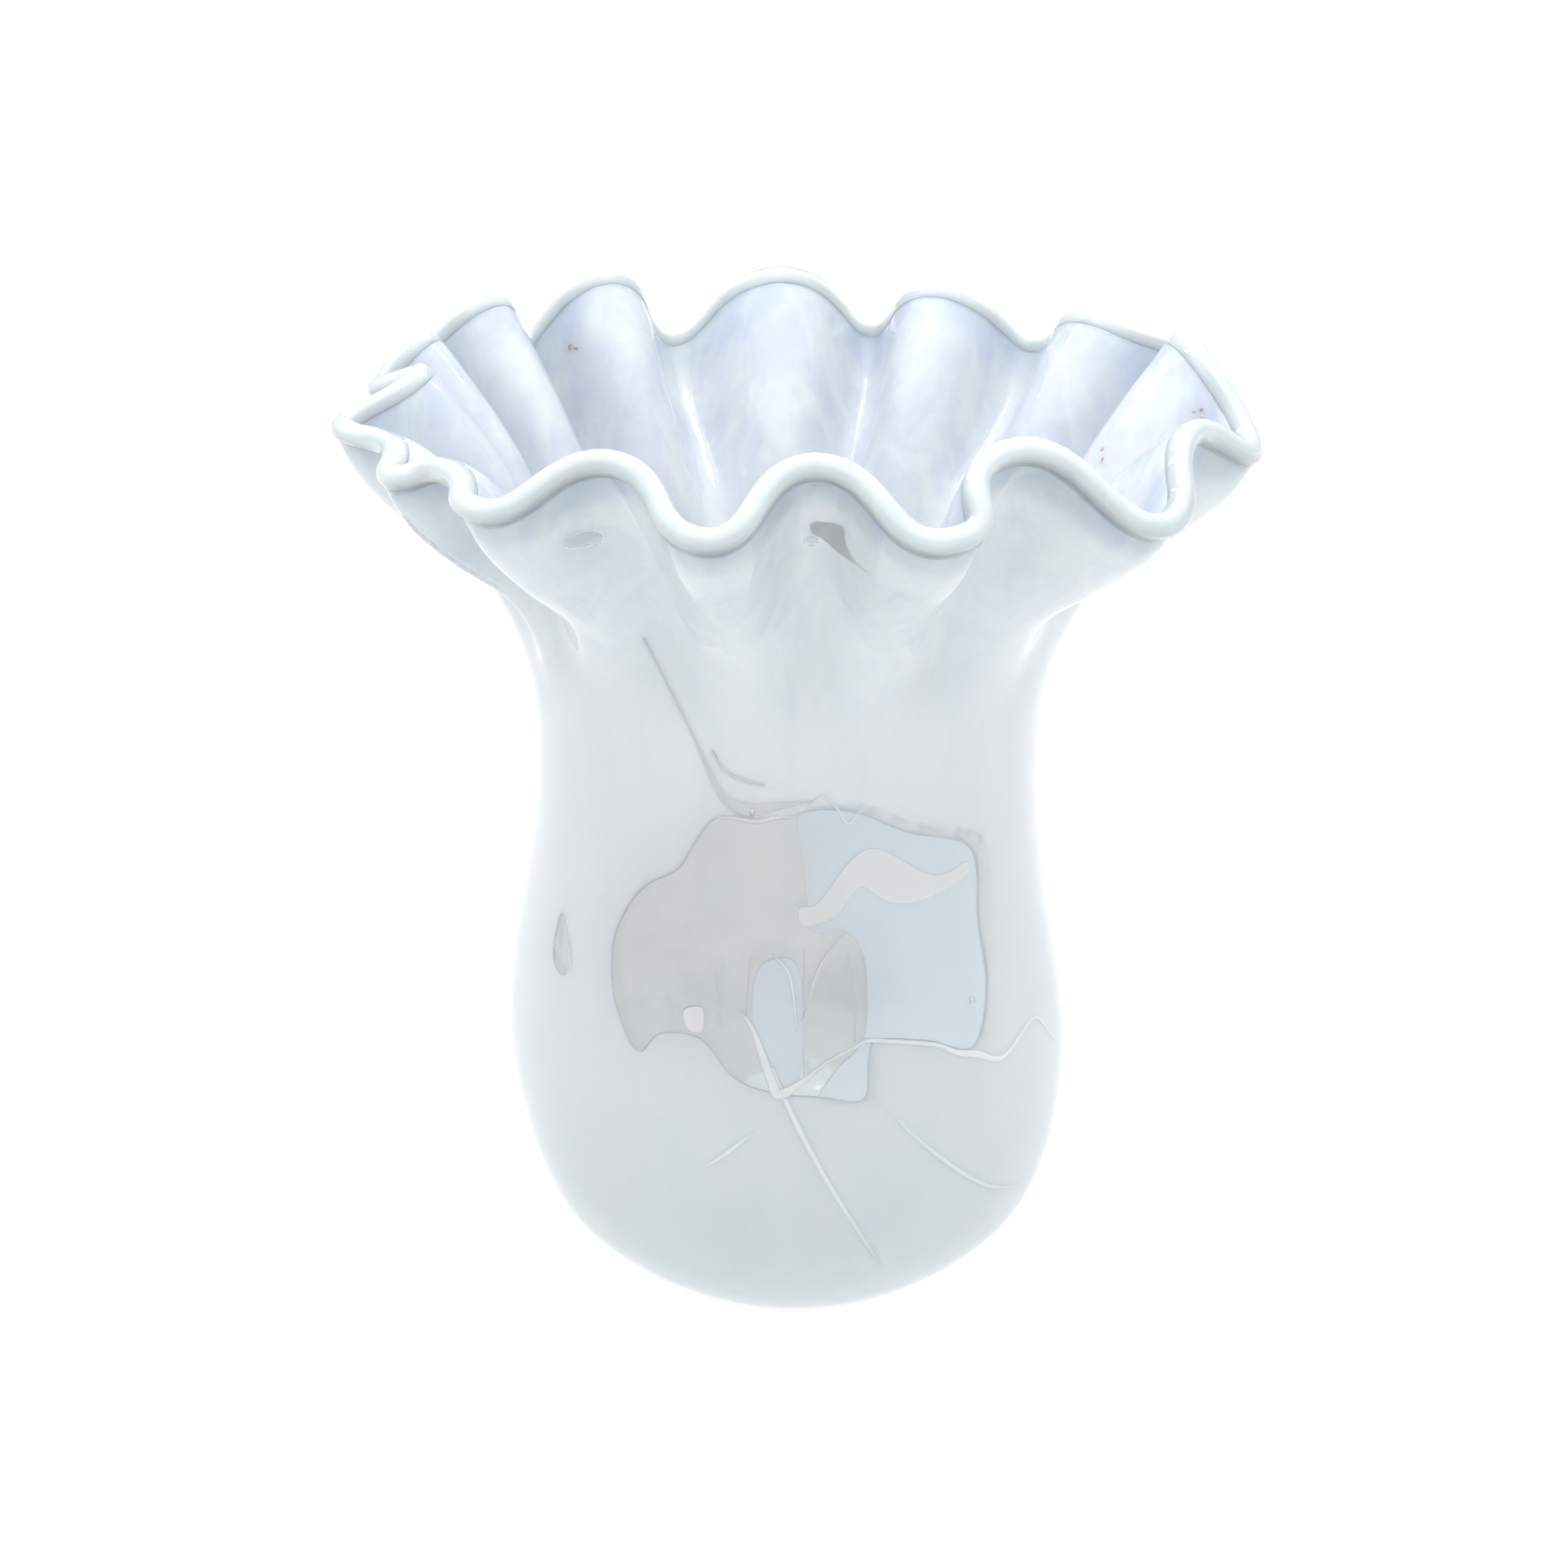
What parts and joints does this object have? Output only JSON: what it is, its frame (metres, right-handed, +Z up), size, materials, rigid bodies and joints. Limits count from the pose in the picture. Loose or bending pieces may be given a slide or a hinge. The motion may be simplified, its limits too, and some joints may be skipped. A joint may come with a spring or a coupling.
{
  "type": "fluted art glass vase",
  "caption": "Hand blown cased glass vase, round body on a small flat base, waisted neck and a wide mouth crimped into deep flutes, for holding flowers or display.",
  "frame": {"origin": "centre of the flat resting face under the vase", "axes": "+Z up through the mouth; -Y towards the side with the torn window in the opal; +X to the right seen from there"},
  "size_m": [0.2052, 0.2004, 0.2263],
  "materials": {
    "clear_glass": "fire polished, clear with a faint cool tint",
    "opal_glass": "milky white, satin, streaky"
  },
  "bodies": {
    "root": {"outer_casing": "clear_glass", "opal_layer": "opal_glass", "opal_film": "opal_glass", "opal_wisp": "opal_glass", "opal_ribbon": "opal_glass", "opal_chip": "opal_glass", "inner_gather": "clear_glass", "lip_wrap": "clear_glass", "pontil_seal": "clear_glass"}
  },
  "joints": []
}
